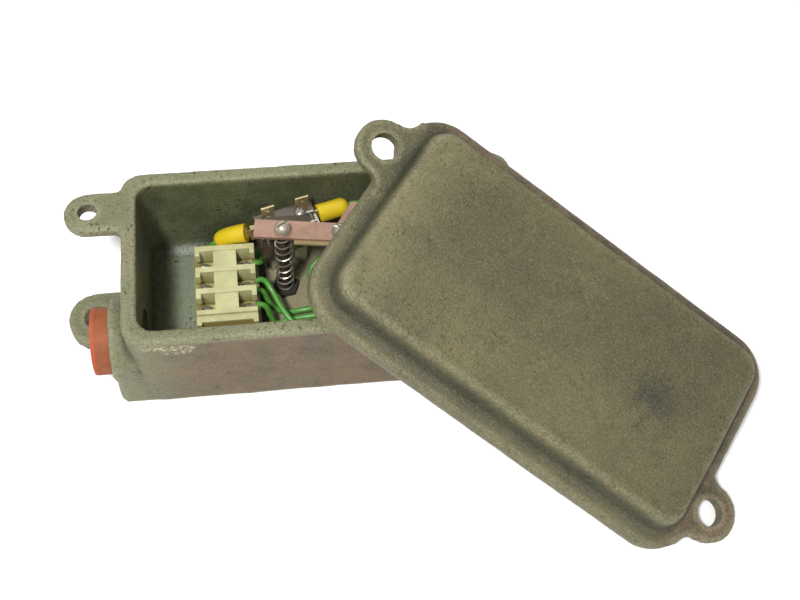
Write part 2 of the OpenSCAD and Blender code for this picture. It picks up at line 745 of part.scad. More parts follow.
box_body();
conduit_plug();
terminal_block();
terminal_plates();
terminal_screws();
block_screws();
base_plate();
base_screws();
pivot_bracket();
pivot_pin();
magnet_core();
coil_bobbin();
reset_coil();
screw_bushing();
adjusting_screw();
adjusting_spring();
trip_bar();
insulator_pad();
bar_screw();
bar_nut();
seismic_mass();
mass_screws();
switch_standoffs();
switch_body();
switch_shield();
switch_tabs();
switch_screws();
lever_bracket();
lever_pin();
switch_lever();
switch_plunger();
sleeve_left();
sleeve_right();
wire_common();
wire_contact();
wire_coil_a();
wire_coil_b();
cover();
cover_gasket();
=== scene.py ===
# %% [markdown]
# # An open vibration limit switch with its lid leaned on the box
# The metal castings are modelled again here with their draft, fillets and uneven skin, and so are the
# soft sleeves and the wires. Every other part keeps the exact shape that it was engineered with, and
# only gets a finish. All lengths are in metres, and +Z points up from the surface that the box lies on.

import math

import bmesh
import bpy
import numpy as np
from mathutils import Euler, Matrix, Vector


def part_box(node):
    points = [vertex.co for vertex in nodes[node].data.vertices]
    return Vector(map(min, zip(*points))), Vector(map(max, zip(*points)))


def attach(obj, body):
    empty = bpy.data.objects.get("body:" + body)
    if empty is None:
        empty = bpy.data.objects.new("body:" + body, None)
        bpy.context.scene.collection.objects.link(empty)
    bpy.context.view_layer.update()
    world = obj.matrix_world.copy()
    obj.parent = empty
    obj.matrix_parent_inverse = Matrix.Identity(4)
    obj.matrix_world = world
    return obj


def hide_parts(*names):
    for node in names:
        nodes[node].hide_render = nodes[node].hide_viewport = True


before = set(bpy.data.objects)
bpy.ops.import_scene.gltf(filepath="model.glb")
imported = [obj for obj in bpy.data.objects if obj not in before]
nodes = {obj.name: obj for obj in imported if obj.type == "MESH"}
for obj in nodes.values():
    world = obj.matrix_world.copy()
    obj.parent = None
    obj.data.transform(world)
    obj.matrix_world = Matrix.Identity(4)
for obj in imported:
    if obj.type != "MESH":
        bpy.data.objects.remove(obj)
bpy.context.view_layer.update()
MM = 0.001

# %% [markdown]
# ## Small helpers for modelling
# Blender's operators act on whatever is selected, so each helper first clears the selection.
# Faces and edges are then picked by their place or direction, which keeps working when a size changes.


# %% Selecting and shaping
def only(obj):
    if bpy.context.object and bpy.context.object.mode != "OBJECT":
        bpy.ops.object.mode_set(mode="OBJECT")
    bpy.ops.object.select_all(action="DESELECT")
    obj.select_set(True)
    bpy.context.view_layer.objects.active = obj


def pick(obj, kind, rule):
    """Selects the verts, edges or faces that the rule accepts, with the object in edit mode."""
    bpy.ops.mesh.select_mode(type={"verts": "VERT", "edges": "EDGE", "faces": "FACE"}[kind])
    bpy.ops.mesh.select_all(action="DESELECT")
    mesh = bmesh.from_edit_mesh(obj.data)
    chosen = [item for item in getattr(mesh, kind) if rule(item)]
    for item in chosen:
        item.select_set(True)
    bmesh.update_edit_mesh(obj.data)
    return len(chosen)


def start_edit(obj):
    only(obj)
    bpy.ops.object.mode_set(mode="EDIT")


def end_edit():
    bpy.ops.object.mode_set(mode="OBJECT")


def fix_place(obj):
    only(obj)
    bpy.ops.object.transform_apply(location=True, rotation=True, scale=True)
    return obj


def finish_modifier(obj, kind, **settings):
    only(obj)
    modifier = obj.modifiers.new(kind.lower(), kind)
    for key, value in settings.items():
        setattr(modifier, key, value)
    bpy.ops.object.modifier_apply(modifier=modifier.name)


def block(name, size_x, size_y, low, high, corner=0.0, steps=10, centre=(0.0, 0.0)):
    """A block standing from low to high, with its upright edges rounded."""
    bpy.ops.object.select_all(action="DESELECT")
    bpy.ops.mesh.primitive_cube_add(size=1, location=(centre[0], centre[1], (low + high) / 2))
    obj = bpy.context.object
    obj.name = name
    obj.scale = (size_x, size_y, high - low)
    fix_place(obj)
    if corner:
        start_edit(obj)
        pick(obj, "edges", lambda e: abs((e.verts[0].co - e.verts[1].co).normalized().z) > 0.9)
        bpy.ops.mesh.bevel(offset=corner, segments=steps, affect="EDGES")
        end_edit()
    return obj


def rod(name, radius, start, end, sides=48, bevel=0.0):
    """A round bar between two points, with an optional bevel round both ends."""
    start, end = Vector(start), Vector(end)
    along = end - start
    bpy.ops.object.select_all(action="DESELECT")
    bpy.ops.mesh.primitive_cylinder_add(vertices=sides, radius=radius, depth=along.length)
    obj = bpy.context.object
    obj.name = name
    if bevel:
        start_edit(obj)
        pick(obj, "edges", lambda e: len(e.link_faces) == 2 and any(len(f.verts) > 4 for f in e.link_faces))
        bpy.ops.mesh.bevel(offset=bevel, segments=3, affect="EDGES")
        end_edit()
    obj.matrix_world = Matrix.Translation((start + end) / 2) @ along.to_track_quat("Z", "Y").to_matrix().to_4x4()
    return fix_place(obj)


def combine(target, other, operation="UNION"):
    finish_modifier(target, "BOOLEAN", operation=operation, object=other, solver="EXACT")
    bpy.data.objects.remove(other, do_unlink=True)


def join(name, parts):
    only(parts[0])
    for part in parts[1:]:
        part.select_set(True)
    bpy.ops.object.join()
    bpy.context.object.name = name
    return bpy.context.object


def tidy(obj, angle=35.0):
    """Merges doubles, turns every face outwards and smooths the shading below an angle."""
    start_edit(obj)
    bpy.ops.mesh.select_all(action="SELECT")
    bpy.ops.mesh.remove_doubles(threshold=0.00001)
    bpy.ops.mesh.normals_make_consistent(inside=False)
    end_edit()
    only(obj)
    bpy.ops.object.shade_smooth_by_angle(angle=math.radians(angle))
    return obj


def triangles(obj):
    return sum(len(p.vertices) - 2 for p in obj.data.polygons)


# %% [markdown]
# ## The box casting
# The real box looks like a sand or die casting: its walls lean in a little towards the back so that it leaves
# the mould, the floor meets the walls in big fillets, and the lugs flow into the wall. A block with
# rounded corners gives the outside, a second block cuts the inside, and the lugs are joined on. A
# voxel remesh then melts the joints together as cast metal does, and the drilled holes are cut last,
# so that they stay crisp.

# %% Sizes of the box: only its height is read from the engineered part
box_low, box_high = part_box("box_body")
BOX_L, BOX_W, BOX_H = 180 * MM, 90 * MM, box_high[2]
WALL, FLOOR, CORNER = 6.6 * MM, 6 * MM, 10 * MM
DRAFT = 1.9 * MM
BOLT_X, BOLT_Y, LUG_R, LUG_T = 104.5 * MM, 25 * MM, 10.5 * MM, 5.5 * MM
FOOT_X, FOOT_R, FOOT_T, BOLT_HOLE_R, TAP_R = 107.5 * MM, 13.5 * MM, 8 * MM, 6.25 * MM, 4.25 * MM
BLOCK_X, BLOCK_HOLE_YS, BLOCK_HOLE_R = -45.8 * MM, (12.6 * MM, -13.6 * MM), 3.3 * MM
ENTRY_Y, ENTRY_Z, BOSS_R, BOSS_X, ENTRY_R = -24.2 * MM, 27.2 * MM, 18.8 * MM, -97.5 * MM, 13.3 * MM
print("box from", box_low, "to", box_high)


# %% The outside, leaning in towards the back
def lean_in(obj, height, amount, size_x, size_y):
    """Pulls the vertices at one height inwards by the same amount on each side."""
    start_edit(obj)
    pick(obj, "verts", lambda v: abs(v.co.z - height) < 0.0001)
    factor = (1 - 2 * amount / size_x, 1 - 2 * amount / size_y, 1)
    bpy.ops.transform.resize(value=factor, center_override=(0, 0, 0))
    end_edit()


cast_box = block("cast_box", BOX_L, BOX_W, 0, BOX_H, CORNER)
lean_in(cast_box, 0, DRAFT, BOX_L, BOX_W)
start_edit(cast_box)
pick(cast_box, "edges", lambda e: all(abs(v.co.z) < 0.0001 for v in e.verts))
bpy.ops.mesh.bevel(offset=2.2 * MM, segments=3, affect="EDGES")
end_edit()

# %% The lugs, the feet and the conduit boss
def lug_plate(name, x, y, wall_x, radius, flare, low, high):
    """A lug seen from above: a round end whose neck flares out where it meets the wall at wall_x."""
    side = 1 if x > wall_x else -1
    outline = [(wall_x - side * 4 * MM, y + radius + flare)]
    for step in range(7):
        turn = math.radians(180 + 15 * step)
        outline.append((wall_x + side * flare * (1 + math.cos(turn)), y + radius + flare * (1 + math.sin(turn))))
    for step in range(25):
        turn = math.radians(90 - 7.5 * step)
        outline.append((x + side * radius * math.cos(turn), y + radius * math.sin(turn)))
    outline += [(px, 2 * y - py) for px, py in reversed(outline[:8])]
    mesh = bpy.data.meshes.new(name)
    mesh.from_pydata([(px, py, low) for px, py in outline], [], [list(range(len(outline)))])
    obj = bpy.data.objects.new(name, mesh)
    bpy.context.collection.objects.link(obj)
    start_edit(obj)
    bpy.ops.mesh.select_all(action="SELECT")
    bpy.ops.mesh.extrude_region_move(TRANSFORM_OT_translate={"value": (0, 0, high - low)})
    bpy.ops.mesh.select_all(action="SELECT")
    bpy.ops.mesh.normals_make_consistent(inside=False)
    end_edit()
    return obj


for side in (-1, 1):
    wall_x = side * (BOX_L / 2 - 1 * MM)
    combine(cast_box, lug_plate("lug", side * BOLT_X, -side * BOLT_Y, wall_x, LUG_R, 4 * MM, BOX_H - LUG_T, BOX_H))
    combine(cast_box, lug_plate("foot", side * FOOT_X, 0, wall_x, FOOT_R, 3 * MM, 0, FOOT_T))
boss_end = -BOX_L / 2 + WALL / 2
combine(cast_box, rod("boss", BOSS_R, (BOSS_X, ENTRY_Y, ENTRY_Z), (boss_end, ENTRY_Y, ENTRY_Z), bevel=1.2 * MM))
boss_root = -BOX_L / 2 + 22 * MM
combine(cast_box, block("boss_foot", boss_root - BOSS_X, 2 * BOSS_R - 1.2 * MM, 0, ENTRY_Z, 5 * MM,
                        centre=((boss_root + BOSS_X) / 2, ENTRY_Y)))
print("outside of the box:", triangles(cast_box), "triangles")

# %% The inside, with a fillet all round the floor
inside = block("inside", BOX_L - 2 * WALL, BOX_W - 2 * WALL, FLOOR, BOX_H + 4 * MM, 7.5 * MM)
lean_in(inside, FLOOR, 1.6 * MM, BOX_L - 2 * WALL, BOX_W - 2 * WALL)
start_edit(inside)
pick(inside, "edges", lambda e: all(abs(v.co.z - FLOOR) < 0.0001 for v in e.verts))
bpy.ops.mesh.bevel(offset=3.6 * MM, segments=5, affect="EDGES")
end_edit()
combine(cast_box, inside, "DIFFERENCE")


# %% [markdown]
# A remesh replaces the skin by an even net of small faces. Smoothing that net rounds every edge
# a little, and a faint cloud pattern makes it as uneven as a rough casting.

# %% Melt the joints and roughen the skin
def cast_skin(obj, voxel, rounds, uneven, seed_size):
    finish_modifier(obj, "REMESH", mode="VOXEL", voxel_size=voxel, use_smooth_shade=True)
    finish_modifier(obj, "SMOOTH", factor=0.5, iterations=rounds)
    for size, strength in ((seed_size, uneven), (seed_size * 0.3, uneven * 0.45)):
        clouds = bpy.data.textures.new("uneven_skin", "CLOUDS")
        clouds.noise_scale = size
        clouds.noise_depth = 3
        finish_modifier(obj, "DISPLACE", texture=clouds, strength=strength, mid_level=0.5, texture_coords="LOCAL")
    print(obj.name, "skin:", triangles(obj), "triangles")


cast_skin(cast_box, 1.1 * MM, 3, 0.55 * MM, 0.012)

# %% Drill the holes
drills = []
for side in (-1, 1):
    drills.append(rod("tap", TAP_R, (side * BOLT_X, -side * BOLT_Y, BOX_H - 2 * LUG_T),
                      (side * BOLT_X, -side * BOLT_Y, BOX_H + LUG_T)))
    drills.append(rod("foot_hole", BOLT_HOLE_R, (side * FOOT_X, 0, -FOOT_T), (side * FOOT_X, 0, 2 * FOOT_T)))
drills.append(rod("entry", ENTRY_R, (BOSS_X - WALL, ENTRY_Y, ENTRY_Z), (-BOX_L / 2 + 2 * WALL, ENTRY_Y, ENTRY_Z)))
for y in BLOCK_HOLE_YS:
    drills.append(rod("block_hole", BLOCK_HOLE_R, (BLOCK_X, y, -FLOOR), (BLOCK_X, y, FLOOR / 2)))
combine(cast_box, join("drills", drills), "DIFFERENCE")
tidy(cast_box, 50)
print("box casting:", triangles(cast_box), "triangles")

# %% [markdown]
# ## The lid casting
# The lid is a shallow tray with a raised panel. Its outline is a block with rounded corners. The rolled
# rim, the hollow shoulder and the rounded brow of the panel come from repeated insets of the top face,
# each with its own width and rise, which is how a profile is swept round an outline by hand. The same
# insets from below make the skirt and the hollow under the panel.

# %% Outline and profile of the lid
LIP, LID_T, SKIRT, DOME = 10.5 * MM, 4 * MM, 3.5 * MM, 16 * MM
LID_L, LID_W, LID_R = BOX_L + 2 * LIP, BOX_W + 2 * LIP, CORNER + LIP
rim_profile = [(0.4, 1.2), (0.6, 1.0), (1.0, 0.8), (1.2, 0.3), (1.3, 0.0), (1.2, -0.1), (1.0, 0.3), (0.8, 0.9),
               (0.8, 1.8), (0.7, 2.6), (0.6, 2.6), (0.6, 1.9), (0.8, 1.2), (1.0, 0.6), (1.4, 0.3)]


def sweep_profile(obj, up, profile):
    """Insets the top or bottom face again and again, each time by (width, rise) in millimetres."""
    start_edit(obj)
    level = (lambda f: f.normal.z) if up else (lambda f: -f.normal.z)
    reach = max((v.co.z if up else -v.co.z) for f in bmesh.from_edit_mesh(obj.data).faces for v in f.verts)
    pick(obj, "faces", lambda f: level(f) > 0.9 and abs(abs(f.calc_center_median().z) - abs(reach)) < 0.0005)
    for width, rise in profile:
        bpy.ops.mesh.inset(thickness=width * MM, depth=rise * MM, use_even_offset=True)
    end_edit()


cast_lid = block("cast_lid", LID_L, LID_W, -SKIRT, 0.6 * MM, LID_R, steps=14)
sweep_profile(cast_lid, True, rim_profile)
print("panel height", round(max(v.co.z for v in cast_lid.data.vertices), 4))

# %% The hollow underneath
sweep_profile(cast_lid, False, [(0.8, 0.5), (2.6, 0.1), (0.7, -0.6)])
under = block("under", LID_L - 8 * MM, LID_W - 8 * MM, -2 * SKIRT, 0, LID_R - 4 * MM, steps=10)
combine(cast_lid, under, "DIFFERENCE")
dish = block("dish", BOX_L - 2 * WALL, BOX_W - 2 * WALL, -SKIRT, DOME - 4 * MM, 6 * MM)
combine(cast_lid, dish, "DIFFERENCE")

# %% The lid's two lugs
for side in (-1, 1):
    wall_x = side * (LID_L / 2 - 3 * MM)
    combine(cast_lid, lug_plate("lid_lug", side * BOLT_X, -side * BOLT_Y, wall_x, FOOT_R - 0.4 * MM,
                                8 * MM, -1 * MM, 4.6 * MM))
cast_skin(cast_lid, 0.95 * MM, 2, 0.4 * MM, 0.014)
lid_drills = [
    rod("lid_hole", BOLT_HOLE_R, (side * BOLT_X, -side * BOLT_Y, -LUG_T), (side * BOLT_X, -side * BOLT_Y, 3 * LUG_T))
    for side in (-1, 1)]
combine(cast_lid, join("lid_drills", lid_drills), "DIFFERENCE")
tidy(cast_lid, 50)

# %% [markdown]
# The lid's finish has stains that belong to its panel, so each vertex first remembers where it was on the
# level lid, in an attribute. The mesh is then turned into its leaning place.

# %% Remember the level place, then lean the lid
LEAN_ROLL, LEAN_YAW, LEAN_GAP = math.radians(8.5), math.radians(-34.6), 0.35 * MM
reach_down = BOLT_Y * math.sin(LEAN_ROLL)
lean_pitch = math.asin((BOX_H - 12 * MM + 0.25 * MM - 0.93 * reach_down - 0.386 * FOOT_R) / BOLT_X)
LID_AT = Vector((BOX_L / 2 + 2.8 * MM, -BOX_W / 2 - 3.7 * MM,
                 LEAN_GAP + BOLT_X * math.sin(lean_pitch) + reach_down * math.cos(lean_pitch)
                 + FOOT_R * math.hypot(math.sin(lean_pitch), math.cos(lean_pitch) * math.sin(LEAN_ROLL))))
LID_POSE = Matrix.Translation(LID_AT) @ Euler((LEAN_ROLL, lean_pitch, LEAN_YAW), "XYZ").to_matrix().to_4x4()


def remember_place(obj, name):
    place = obj.data.attributes.new(name, "FLOAT_VECTOR", "POINT")
    flat = [c for v in obj.data.vertices for c in v.co]
    place.data.foreach_set("vector", flat)


def remember_relief(obj, rounds=14, full=0.9 * MM):
    """Writes how far each point stands out of its smoothed surroundings: 1 on an edge, -1 in a hollow."""
    mesh = obj.data
    count = len(mesh.vertices)
    place, facing = np.empty(count * 3), np.empty(count * 3)
    mesh.vertices.foreach_get("co", place)
    mesh.vertices.foreach_get("normal", facing)
    place, facing = place.reshape(-1, 3), facing.reshape(-1, 3)
    pairs = np.empty(len(mesh.edges) * 2, dtype=np.int32)
    mesh.edges.foreach_get("vertices", pairs)
    first, second = pairs.reshape(-1, 2).T
    ends, others = np.concatenate((first, second)), np.concatenate((second, first))
    links = np.bincount(ends, minlength=count)[:, None]
    smooth = place.copy()
    for _ in range(rounds):
        near = np.stack([np.bincount(ends, smooth[others, i], count) for i in range(3)], axis=1)
        smooth = 0.4 * smooth + 0.6 * near / np.maximum(links, 1)
    relief = np.clip(((place - smooth) * facing).sum(axis=1) / full, -1, 1)
    for _ in range(3):
        relief = 0.5 * relief + 0.5 * np.bincount(ends, relief[others], count) / np.maximum(links[:, 0], 1)
    mesh.attributes.new("relief", "FLOAT", "POINT").data.foreach_set("value", relief)
    print(obj.name, "relief from", round(float(relief.min()), 2), "to", round(float(relief.max()), 2))


remember_relief(cast_box)
remember_relief(cast_lid)
remember_place(cast_lid, "level_place")
cast_lid.matrix_world = LID_POSE
fix_place(cast_lid)
print("lid leans by", round(math.degrees(lean_pitch), 2), "degrees; triangles:", triangles(cast_lid))

# %% [markdown]
# ## The yellow sleeves
# A soft PVC sleeve is pushed over each tab. It is cut square at its mouth, where it is hollow, and it
# closes round its wire in a blunt dome. The left one hangs by its wire, so it bows down. A curve whose
# thickness changes from point to point makes such a limp tube, and its end face is then pushed in.

# %% Two soft sleeves
SLEEVE_R, SLEEVE_NOSE = 4.55 * MM, 3.4 * MM


def sleeve(name, stands_for, mouth, first_way, nose, last_way, length):
    """A tube that leaves its mouth in one direction and reaches its nose in another."""
    mouth, nose = Vector(mouth), Vector(nose)
    reach = (nose - mouth).length / 3
    bend = [mouth, mouth + reach * Vector(first_way).normalized(), nose - reach * Vector(last_way).normalized(), nose]
    curve = bpy.data.curves.new(name, "CURVE")
    curve.dimensions, curve.bevel_depth, curve.bevel_resolution, curve.use_fill_caps = "3D", SLEEVE_R, 12, True
    spline = curve.splines.new("POLY")
    steps = 24
    spline.points.add(steps)
    for step, point in enumerate(spline.points):
        t = (step / steps) ** 0.8
        at = (bend[0] * (1 - t) ** 3 + bend[1] * 3 * t * (1 - t) ** 2
              + bend[2] * 3 * t * t * (1 - t) + bend[3] * t ** 3)
        past = max(0.0, t * (length + SLEEVE_NOSE) - length + 0.6 * MM) / (SLEEVE_NOSE + 0.6 * MM)
        point.co = (*at, 1)
        point.radius = math.sqrt(1 - 0.80 * past ** 2) * (1 - 0.03 * math.sin(math.pi * t))
    obj = bpy.data.objects.new(name, curve)
    bpy.context.collection.objects.link(obj)
    only(obj)
    bpy.ops.object.convert(target="MESH")
    obj = bpy.context.object
    start_edit(obj)
    pick(obj, "faces", lambda f: len(f.verts) > 8 and (f.calc_center_median() - mouth).length < 1 * MM)
    bpy.ops.mesh.inset(thickness=0.75 * MM, depth=0)
    bpy.ops.mesh.extrude_region_move(TRANSFORM_OT_translate={"value": Vector(first_way).normalized() * 4 * MM})
    end_edit()
    tidy(obj, 50)
    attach(obj, "box")
    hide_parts(stands_for)
    print(obj.name, triangles(obj), "triangles")
    return obj


SWITCH_TURN, LEFT_TURN, LEFT_TILT = math.radians(15.3), math.radians(172), math.radians(33)
right_way = Vector((math.cos(SWITCH_TURN), math.sin(SWITCH_TURN), 0))
right_mouth = Vector((-16.1, 23.5, 41)) * MM + right_way * 15.6 * MM
left_way = Vector((math.cos(LEFT_TILT) * math.cos(LEFT_TURN), math.cos(LEFT_TILT) * math.sin(LEFT_TURN),
                   -math.sin(LEFT_TILT)))
left_mouth = Vector((-32, 24.6, 35.2)) * MM + left_way * 3.6 * MM
sleeves = [
    sleeve("soft_sleeve_left", "sleeve_left", left_mouth, left_way + Vector((0, 0, 0.32)),
           left_mouth + left_way * 16.4 * MM, left_way - Vector((0, 0, 0.75)), 13 * MM),
    sleeve("soft_sleeve_right", "sleeve_right", right_mouth, right_way,
           right_mouth + right_way * 15.2 * MM, right_way, 11.8 * MM)]

# %% [markdown]
# ## The wires
# The engineered wires are coarse tubes along their routes. A wire that is looked at closely needs a
# smooth round skin, so a smooth curve is drawn through the same centres, given its thickness, and turned
# into a mesh. The centres are the means of the rings of the engineered tube, eight corners to a ring.

# %% Smooth wires along the engineered routes
WIRE_R = 1.4 * MM
wire_names = ("wire_common", "wire_contact", "wire_coil_a", "wire_coil_b")


def ring_centres(obj):
    """Finds the centres of the rings of a swept tube by walking from one end to the other."""
    mesh = bmesh.new()
    mesh.from_mesh(obj.data)
    bmesh.ops.remove_doubles(mesh, verts=mesh.verts, dist=1e-6)
    mesh.verts.index_update()
    flat = {}
    for face in mesh.faces:
        key = tuple(round(c, 2) for c in face.normal)
        flat.setdefault((key, round(face.normal.dot(face.verts[0].co), 5)), set()).update(face.verts)
    first = next(group for group in flat.values() if len(group) == 8)
    left, ring, centres = set(mesh.verts), set(first), []
    while ring:
        ordered = sorted(ring, key=lambda v: v.index)  # a set has no fixed order, and sums round by order
        centres.append(sum((v.co for v in ordered), Vector()) / len(ordered))
        left -= ring
        ring = {e.other_vert(v) for v in ring for e in v.link_edges} & left
    mesh.free()
    return centres


def smooth_wire(name, centres, radius):
    curve = bpy.data.curves.new(name, "CURVE")
    curve.dimensions, curve.bevel_depth, curve.bevel_resolution, curve.use_fill_caps = "3D", radius, 3, True
    spline = curve.splines.new("BEZIER")
    spline.bezier_points.add(len(centres) - 1)
    for point, place in zip(spline.bezier_points, centres):
        point.co, point.handle_left_type, point.handle_right_type = place, "AUTO", "AUTO"
    curve.resolution_u = 6
    obj = bpy.data.objects.new(name, curve)
    bpy.context.collection.objects.link(obj)
    only(obj)
    bpy.ops.object.convert(target="MESH")
    return tidy(bpy.context.object, 60)


leads = []
for name in wire_names:
    centres = ring_centres(nodes[name])
    lead = smooth_wire("lead_" + name[5:], centres, WIRE_R * 0.98)
    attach(lead, "box")
    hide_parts(name)
    leads.append(lead)
    print(lead.name, len(centres), "rings,", triangles(lead), "triangles")

# %% [markdown]
# ## Writing finishes as sums
# A material is easier to read as an expression than as a web of nodes. A Value wraps one socket, and
# +, -, * on values add Math nodes. A Finish owns a material and makes every other node in one method.


# %% Values and finishes
def tone(r, g, b):
    """A colour from 0 to 255 as seen, turned into the linear colour that the shader works in."""
    return tuple(((c / 255 + 0.055) / 1.055) ** 2.4 if c > 10 else c / 255 / 12.92 for c in (r, g, b)) + (1.0,)


class Value:
    def __init__(self, tree, socket):
        self.tree, self.socket = tree, socket

    def math(self, operation, *parts):
        node = self.tree.nodes.new("ShaderNodeMath")
        node.operation = operation
        for place, part in zip(node.inputs, parts):
            if isinstance(part, Value):
                self.tree.links.new(part.socket, place)
            else:
                place.default_value = part
        return Value(self.tree, node.outputs[0])

    def __add__(self, other):
        return self.math("ADD", self, other)

    def __sub__(self, other):
        return self.math("SUBTRACT", self, other)

    def __rsub__(self, other):
        return self.math("SUBTRACT", other, self)

    def __mul__(self, other):
        return self.math("MULTIPLY", self, other)

    __radd__ = __add__
    __rmul__ = __mul__

    def above(self, start, end):
        """0 below start, 1 above end, with a straight ramp between."""
        ramp = (self - start) * (1 / (end - start))
        return self.math("MAXIMUM", ramp, 0.0).low(1.0)

    def low(self, limit):
        return self.math("MINIMUM", self, limit)

    def absolute(self):
        return self.math("ABSOLUTE", self)

    def sine(self):
        return self.math("SINE", self)

    def root(self):
        return self.math("SQRT", self)


class Finish:
    def __init__(self, name, **constants):
        self.material = bpy.data.materials.new(name)
        self.material.use_nodes = True
        self.tree = self.material.node_tree
        self.shader = self.tree.nodes["Principled BSDF"]
        for key, value in constants.items():
            self.shader.inputs[key.replace("_", " ")].default_value = value

    def node(self, kind, sockets=(), out=0, stops=None, **settings):
        made = self.tree.nodes.new(kind)
        for key, value in settings.items():
            setattr(made, key, value)
        if stops:
            ramp = made.color_ramp
            while len(ramp.elements) < len(stops):
                ramp.elements.new(0.5)
            for element, (place, colour) in zip(ramp.elements, stops):
                element.position, element.color = place, colour
        for key, value in dict(sockets).items():
            if isinstance(value, Value):
                self.tree.links.new(value.socket, made.inputs[key])
            else:
                made.inputs[key].default_value = value
        return Value(self.tree, made.outputs[out])

    def place(self, attribute=None):
        if attribute:
            return self.node("ShaderNodeAttribute", out="Vector", attribute_name=attribute)
        return self.node("ShaderNodeTexCoord", out="Object")

    def noise(self, at, scale, detail=4.0, rough=0.6, twist=0.0):
        sockets = {"Vector": at, "Scale": scale, "Detail": detail, "Roughness": rough, "Distortion": twist}
        return self.node("ShaderNodeTexNoise", sockets)

    def axis(self, at, which):
        return self.node("ShaderNodeSeparateXYZ", {"Vector": at}, out=which)

    def mix(self, factor, first, second):
        return self.node("ShaderNodeMix", {0: factor, 6: first, 7: second}, out=2, data_type="RGBA")

    def set(self, name, value):
        self.tree.links.new(value.socket, self.shader.inputs[name])

    def bump(self, height, distance, strength=1.0):
        self.set("Normal", self.node("ShaderNodeBump", {"Height": height, "Distance": distance, "Strength": strength}))

    def put_on(self, *objects):
        for obj in objects:
            obj.data.materials.clear()
            obj.data.materials.append(self.material)
        return self


# %% [markdown]
# ## The finish of the castings
# Old bare cast metal is a dull grey-green. Its edges are rubbed lighter and get a painted highlight, olive dirt and
# painted shade sit in its hollows, a brown tint of old paint and oil with a painted reflection of red light clouds the
# outer walls, and the skin is full of small dark pits.
# Clouds and pits come from noises at different scales, and the relief attribute says where the edges and
# the hollows are.

# %% What both castings share
LID_THREAD_PITCH = 1.25 * MM
ADJUSTING_THREAD_PITCH = 0.8 * MM


def zone(value, centre, half, soft):
    """1 within half of the centre, 0 further out, with a soft border."""
    return 1 - (value - centre).absolute().above(half - soft, half + soft)


def round_zone(along, across, x, y, full, none):
    """1 nearer than full to an upright axis, 0 further off than none."""
    off_x, off_y = along - x, across - y
    return 1 - (off_x * off_x + off_y * off_y).root().above(full, none)


def cast_finish(name, at, pale, deep):
    """The skin of an old bare casting, before the marks that only one casting has."""
    finish = Finish(name, Metallic=0.1)
    where = finish.place(at)
    clouds = finish.noise(where, 42, 6, 0.66)
    grain = finish.noise(where, 1050, 5, 0.8)
    few = finish.noise(where, 90, 3, 0.6)
    pit = finish.noise(where, 520, 2, 0.5, 0.4).above(0.60, 0.66) * few.above(0.44, 0.62)
    relief = finish.node("ShaderNodeAttribute", out="Fac", attribute_name="relief")
    base = finish.mix(clouds.above(0.34, 0.66), deep, pale)
    return finish, where, clouds, grain, pit, relief, base


def close_up(finish, base, clouds, grain, pit, relief, pit_share):
    """Adds worn edges with a painted highlight, hollows with dirt and painted shade, sandy grain and pits, and sets
    colour, roughness and bump.
    """
    edge_wear_and_highlight = relief.above(0.12, 0.50) * grain.above(0.34, 0.60)
    hollow_dirt_and_shade = (0.0 - relief).above(0.06, 0.42)
    # Edges get rubbed wear and a painted highlight, and hollows get dirt and painted shade.
    base = finish.mix(edge_wear_and_highlight * 0.5, base, tone(146, 144, 112))
    base = finish.mix(hollow_dirt_and_shade * 0.68, base, tone(40, 44, 27))
    base = finish.mix(grain.above(0.50, 0.64) * 0.26, base, tone(150, 148, 118))
    base = finish.mix((1 - grain.above(0.38, 0.50)) * 0.36, base, tone(46, 46, 32))
    base = finish.mix(pit * pit_share, base, tone(30, 30, 20))
    finish.set("Base Color", base)
    finish.set("Roughness", clouds * 0.3 + 0.38 + pit * 0.2)
    finish.bump(grain * 0.8 + clouds * 0.5 - pit * 0.8, 0.6 * MM, 0.7)


# %% Box finish
cast, at, clouds, grain, pit, relief, base = cast_finish(
    "cast_metal_box", None, tone(116, 116, 86), tone(92, 94, 66))
along, across, height = cast.axis(at, "X"), cast.axis(at, "Y"), cast.axis(at, "Z")
blotch = cast.noise(at, 60, 5, 0.7, 0.5)
inner = zone(along, 0.0, 0.0836, 0.0006) * zone(across, 0.0, 0.0386, 0.0006) * (1 - height.above(0.0555, 0.0575))
outer = (1 - inner) * (1 - height.above(0.0535, 0.0565))
# The outer walls get a brown tint of old paint and oil, mixed with a painted reflection of red light from below.
outer_brown_and_red_reflection = cast.mix(blotch.above(0.36, 0.62), tone(74, 57, 36), tone(106, 78, 52))
base = cast.mix(outer * along.above(-0.088, -0.060) * 0.85, base, outer_brown_and_red_reflection)
# Painted shade darkens the inner walls and floor of the box.
depth = cast.mix(clouds.above(0.35, 0.68), tone(62, 68, 42), tone(94, 100, 70))
base = cast.mix(inner * 0.85, base, depth)

# %% The painted pool of light and painted highlight on the floor, the chipped edge, and the painted shade in the threads of the box
# A pool of painted light lies on the floor beside the terminal block.
floor_light_pool = inner * (1 - height.above(0.008, 0.014)) * along.above(-0.076, -0.067) * (1 - along.above(-0.060, -0.052))
base = cast.mix(floor_light_pool * 0.75, base, tone(132, 140, 118))
